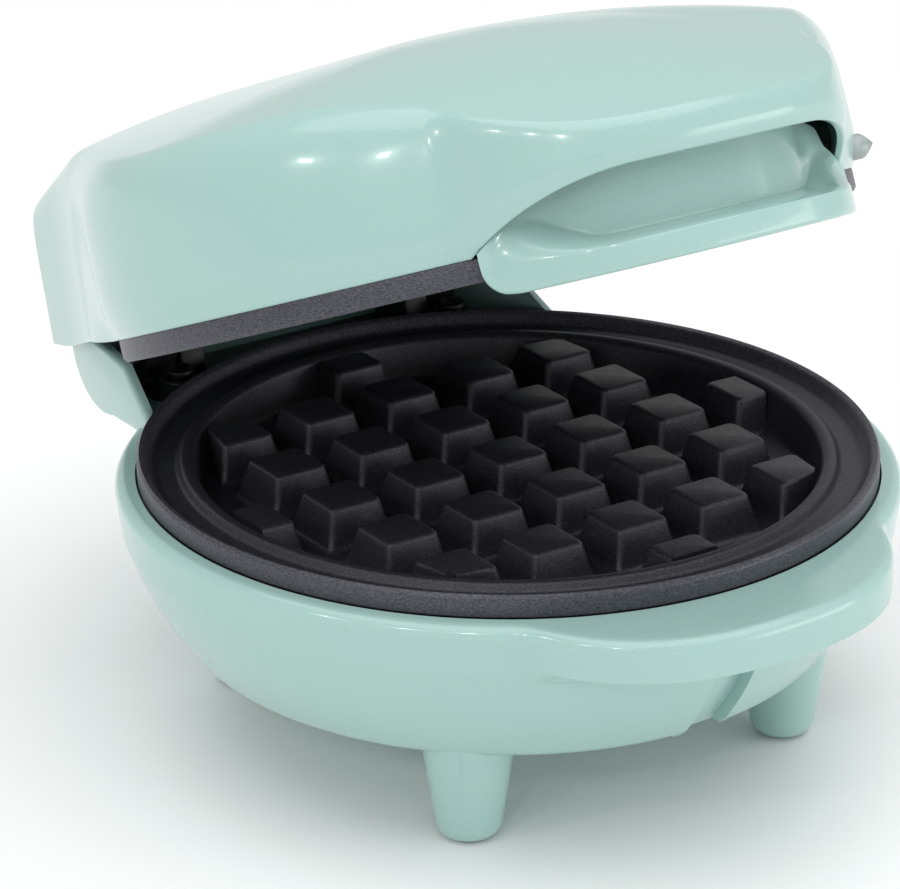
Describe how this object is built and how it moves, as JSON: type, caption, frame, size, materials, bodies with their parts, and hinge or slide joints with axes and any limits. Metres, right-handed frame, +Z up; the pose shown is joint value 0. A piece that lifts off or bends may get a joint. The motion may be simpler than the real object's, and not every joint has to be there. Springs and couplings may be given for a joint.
{
  "type": "waffle maker",
  "caption": "Compact round electric waffle maker: bowl base on short legs, peg plates and a domed lid with a lifting lip on a rear hinge",
  "frame": {"origin": "centre of the bounding box's base, on the plane the feet stand on, with the lid standing open", "axes": "+Z up, -Y towards the front lip, +Y towards the hinge, +X to the right as seen from the front"},
  "size_m": [0.1738, 0.2242, 0.1656],
  "materials": {
    "mint_gloss": "smooth glossy pale mint moulding",
    "black_plastic": "satin black heat-proof moulding",
    "non_stick_coating": "cast aluminium under dark grey non-stick coating",
    "plain_steel": "bright zinc-plated steel",
    "dark_steel": "blackened steel",
    "bare_aluminium": "plain pressed sheet",
    "ceramic": "off-white unglazed ceramic",
    "foot_rubber": "matt dark grey rubber",
    "clear_lens": "clear smooth plastic"
  },
  "bodies": {
    "base": {"base_shell": "mint_gloss", "base_inner_frame": "black_plastic", "bottom_cover": "mint_gloss", "cover_screw_1": "plain_steel", "cover_screw_2": "plain_steel", "cover_screw_3": "plain_steel", "foot_pad_front_left": "foot_rubber", "foot_pad_front_right": "foot_rubber", "foot_pad_rear_left": "foot_rubber", "foot_pad_rear_right": "foot_rubber", "hinge_pin_left": "plain_steel", "hinge_pin_right": "plain_steel", "frame_screw_left": "dark_steel", "frame_screw_right": "dark_steel", "cable_gland": "black_plastic", "terminal_block": "ceramic", "lower_waffle_plate": "non_stick_coating", "lower_heating_element": "plain_steel", "lower_reflector": "bare_aluminium", "lower_reflector_screw": "plain_steel", "lower_thermostat": "ceramic", "lower_terminal_left": "plain_steel", "lower_terminal_right": "plain_steel"},
    "lid": {"lid_shell": "mint_gloss", "lid_handle": "mint_gloss", "lid_inner_frame": "black_plastic", "upper_waffle_plate": "non_stick_coating", "upper_heating_element": "plain_steel", "upper_reflector": "bare_aluminium", "upper_reflector_screw": "plain_steel", "upper_thermostat": "ceramic", "upper_terminal_left": "plain_steel", "upper_terminal_right": "plain_steel", "power_lens": "clear_lens", "power_lamp": "clear_lens", "ready_lens": "clear_lens", "ready_lamp": "clear_lens"}
  },
  "joints": [
    {"name": "lid_hinge", "type": "hinge", "parent": "base", "child": "lid", "pos_m": [0, 0.07893, 0.0668], "axis": [-1, 0, 0], "range_deg": [-23.56, 71]}
  ]
}
